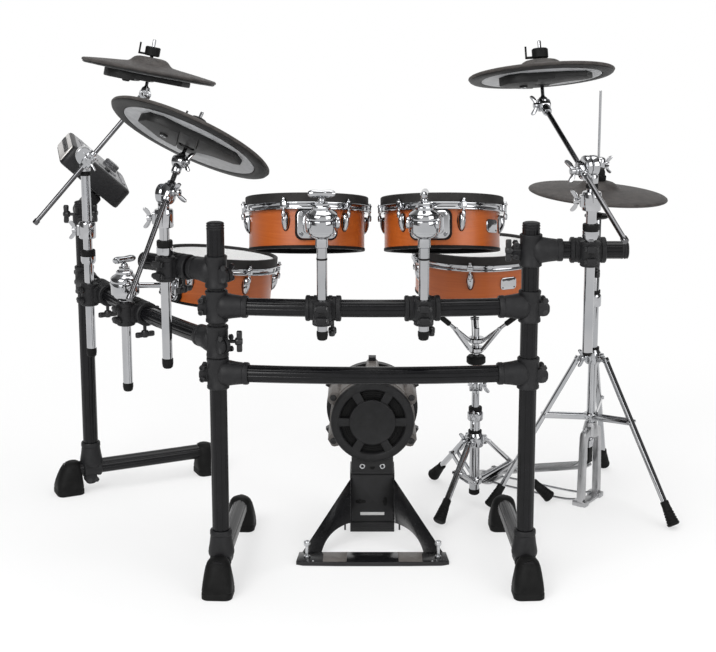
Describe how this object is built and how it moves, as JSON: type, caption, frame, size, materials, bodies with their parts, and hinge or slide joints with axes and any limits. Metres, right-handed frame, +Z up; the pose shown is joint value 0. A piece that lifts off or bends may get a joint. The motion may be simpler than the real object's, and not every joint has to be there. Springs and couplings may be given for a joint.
{
  "type": "electronic drum kit",
  "caption": "Electronic drum kit on a curved tube rack with tilting mesh pads, boom-mounted cymbal pads, a kick tower, a hi-hat stand with pedal and a sound module.",
  "frame": {"origin": "on the floor, at the middle of the underside of the kick tower's front base strip", "axes": "+Z up, +X to the right as the audience sees the kit (its longest extent), +Y from the audience towards the drummer"},
  "size_m": [1.5894, 1.1708, 1.2093],
  "materials": {
    "rack_coat": "semi-gloss black coat on fluted tube",
    "joint_plastic": "fine-grained charcoal plastic",
    "black_rubber": "matte black rubber",
    "chrome": "polished chrome",
    "boom_coat": "dark grey satin coat",
    "shell_wood": "amber stained wood under satin lacquer",
    "mesh": "pale woven mesh",
    "sensor_plastic": "matte black plastic with foam cone",
    "pad_rubber": "dark grey-brown rubber with fine rings",
    "plate_plastic": "grey moulded plastic",
    "kick_coat": "glossy black coat",
    "kick_plastic": "grey-brown moulded plastic",
    "cover_plastic": "satin black moulded plastic",
    "pedal_metal": "satin cast aluminium",
    "bolt_steel": "zinc-plated steel",
    "module_plastic": "matte black plastic",
    "dial_plastic": "dark gloss plastic"
  },
  "bodies": {
    "stand": {"cymbal_masts": "chrome", "hihat_frame": "pedal_metal", "hihat_sensor_base": "sensor_plastic", "kick_anchor_bolts": "bolt_steel", "kick_base_frame": "kick_coat", "kick_drum_shell": "kick_plastic", "kick_front_cover": "cover_plastic", "kick_head": "mesh", "kick_hoop": "kick_coat", "kick_tower": "kick_plastic", "rack_clamps": "joint_plastic", "rack_crossbars": "rack_coat", "rack_end_caps": "joint_plastic", "rack_joint_sleeves": "joint_plastic", "rack_legs": "rack_coat", "rack_uprights": "rack_coat", "rack_wing_bolts": "bolt_steel", "rubber_feet": "black_rubber", "stand_tripods": "chrome", "stand_tubes": "chrome"},
    "tom_left_arm": {"tom_left_arm": "chrome"},
    "tom_left": {"tom_left_shell": "shell_wood", "tom_left_head": "mesh", "tom_left_rim": "black_rubber", "tom_left_hardware": "chrome", "tom_left_sensor": "sensor_plastic"},
    "tom_right_arm": {"tom_right_arm": "chrome"},
    "tom_right": {"tom_right_shell": "shell_wood", "tom_right_head": "mesh", "tom_right_rim": "black_rubber", "tom_right_hardware": "chrome", "tom_right_sensor": "sensor_plastic"},
    "floor_tom_arm": {"floor_tom_arm": "chrome"},
    "floor_tom": {"floor_tom_shell": "shell_wood", "floor_tom_head": "mesh", "floor_tom_rim": "black_rubber", "floor_tom_hardware": "chrome", "floor_tom_sensor": "sensor_plastic"},
    "crash_left_boom": {"crash_left_boom": "boom_coat"},
    "crash_left_pad": {"crash_left_pad": "pad_rubber", "crash_left_base_plate": "plate_plastic"},
    "ride_boom": {"ride_boom": "boom_coat"},
    "ride_pad": {"ride_pad": "pad_rubber", "ride_base_plate": "plate_plastic"},
    "crash_right_boom": {"crash_right_boom": "boom_coat"},
    "crash_right_pad": {"crash_right_pad": "pad_rubber", "crash_right_base_plate": "plate_plastic"},
    "hihat_pedal": {"hihat_footboard": "pedal_metal"},
    "hihat_rod": {"hihat_pull_rod": "chrome", "hihat_pad": "pad_rubber"},
    "snare_column": {"snare_column": "chrome"},
    "snare": {"snare_basket": "chrome", "snare_shell": "shell_wood", "snare_head": "mesh", "snare_rim": "black_rubber", "snare_hardware": "chrome", "snare_sensor": "sensor_plastic"},
    "module": {"module_case": "module_plastic"},
    "module_dial": {"module_dial": "dial_plastic"},
    "module_key": {"module_key": "dial_plastic"}
  },
  "joints": [
    {"name": "tom_left_height", "type": "slide", "parent": "stand", "child": "tom_left_arm", "axis": [0, 0, 1], "range_m": [-0.05, 0.01]},
    {"name": "tom_left_tilt", "type": "hinge", "parent": "tom_left_arm", "child": "tom_left", "pos_m": [-0.10828, -0.18953, 0.833], "axis": [-0.9826, -0.1858, 0], "range_deg": [-4, 12]},
    {"name": "tom_right_height", "type": "slide", "parent": "stand", "child": "tom_right_arm", "axis": [0, 0, 1], "range_m": [-0.05, 0.01]},
    {"name": "tom_right_tilt", "type": "hinge", "parent": "tom_right_arm", "child": "tom_right", "pos_m": [0.10675, -0.1896, 0.833], "axis": [-0.9747, 0.2234, 0], "range_deg": [-4, 12]},
    {"name": "floor_tom_height", "type": "slide", "parent": "stand", "child": "floor_tom_arm", "axis": [0, 0, 1], "range_m": [0, 0.05]},
    {"name": "floor_tom_tilt", "type": "hinge", "parent": "floor_tom_arm", "child": "floor_tom", "pos_m": [-0.57094, 0.11746, 0.628], "axis": [-0.5617, 0.8273, 0], "range_deg": [-6, 8]},
    {"name": "crash_left_boom_swing", "type": "hinge", "parent": "stand", "child": "crash_left_boom", "pos_m": [-0.68762, 0.31401, 0.901], "axis": [0.2198, -0.9755, 0], "range_deg": [-15, 15]},
    {"name": "crash_left_pad_rock", "type": "hinge", "parent": "crash_left_boom", "child": "crash_left_pad", "pos_m": [-0.5316, 0.33275, 1.09621], "axis": [0.2324, -0.9706, 0.062], "range_deg": [-7, 7], "stiffness_Nm_per_rad": 4},
    {"name": "ride_boom_swing", "type": "hinge", "parent": "stand", "child": "ride_boom", "pos_m": [-0.44944, -0.09999, 0.8786], "axis": [0.9011, -0.4337, 0], "range_deg": [-4, 12]},
    {"name": "ride_pad_rock", "type": "hinge", "parent": "ride_boom", "child": "ride_pad", "pos_m": [-0.39566, -0.05532, 0.98832], "axis": [0.8426, -0.514, -0.1609], "range_deg": [-7, 7], "stiffness_Nm_per_rad": 4},
    {"name": "crash_right_boom_swing", "type": "hinge", "parent": "stand", "child": "crash_right_boom", "pos_m": [0.4586, -0.168, 0.95], "axis": [-0.9553, -0.2957, 0], "range_deg": [-15, 15]},
    {"name": "crash_right_pad_rock", "type": "hinge", "parent": "crash_right_boom", "child": "crash_right_pad", "pos_m": [0.37142, 0.05073, 1.11433], "axis": [-0.956, -0.2931, 0.0107], "range_deg": [-7, 7], "stiffness_Nm_per_rad": 4},
    {"name": "hihat_pedal_press", "type": "hinge", "parent": "stand", "child": "hihat_pedal", "pos_m": [0.31258, 0.55617, 0.022], "axis": [0.5592, 0.829, 0], "range_deg": [0, 6]},
    {"name": "hihat_rod_pull", "type": "slide", "parent": "stand", "child": "hihat_rod", "axis": [0, 0, 1], "range_m": [-0.028, 0], "stiffness_N_per_m": 600, "springref_m": 0.045},
    {"name": "snare_height", "type": "slide", "parent": "stand", "child": "snare_column", "axis": [0, 0, 1], "range_m": [-0.02, 0.06]},
    {"name": "snare_tilt", "type": "hinge", "parent": "snare_column", "child": "snare", "pos_m": [0.26, 0.385, 0.312], "axis": [1, 0, 0], "range_deg": [-8, 8]},
    {"name": "module_tilt", "type": "hinge", "parent": "stand", "child": "module", "pos_m": [-0.76335, 0.64628, 0.706], "axis": [-0.2079, 0.9781, 0], "range_deg": [-20, 20]},
    {"name": "module_dial_turn", "type": "hinge", "parent": "module", "child": "module_dial", "pos_m": [-0.69397, 0.71828, 0.81075], "axis": [0.6608, 0.1405, 0.7373], "continuous": true},
    {"name": "module_key_press", "type": "slide", "parent": "module", "child": "module_key", "axis": [-0.6608, -0.1405, -0.7373], "range_m": [0, 0.003], "stiffness_N_per_m": 300, "springref_m": -0.002}
  ],
  "couplings": [
    {"joint": "hihat_rod_pull", "follows": "hihat_pedal_press", "m_per_rad": -0.262}
  ]
}
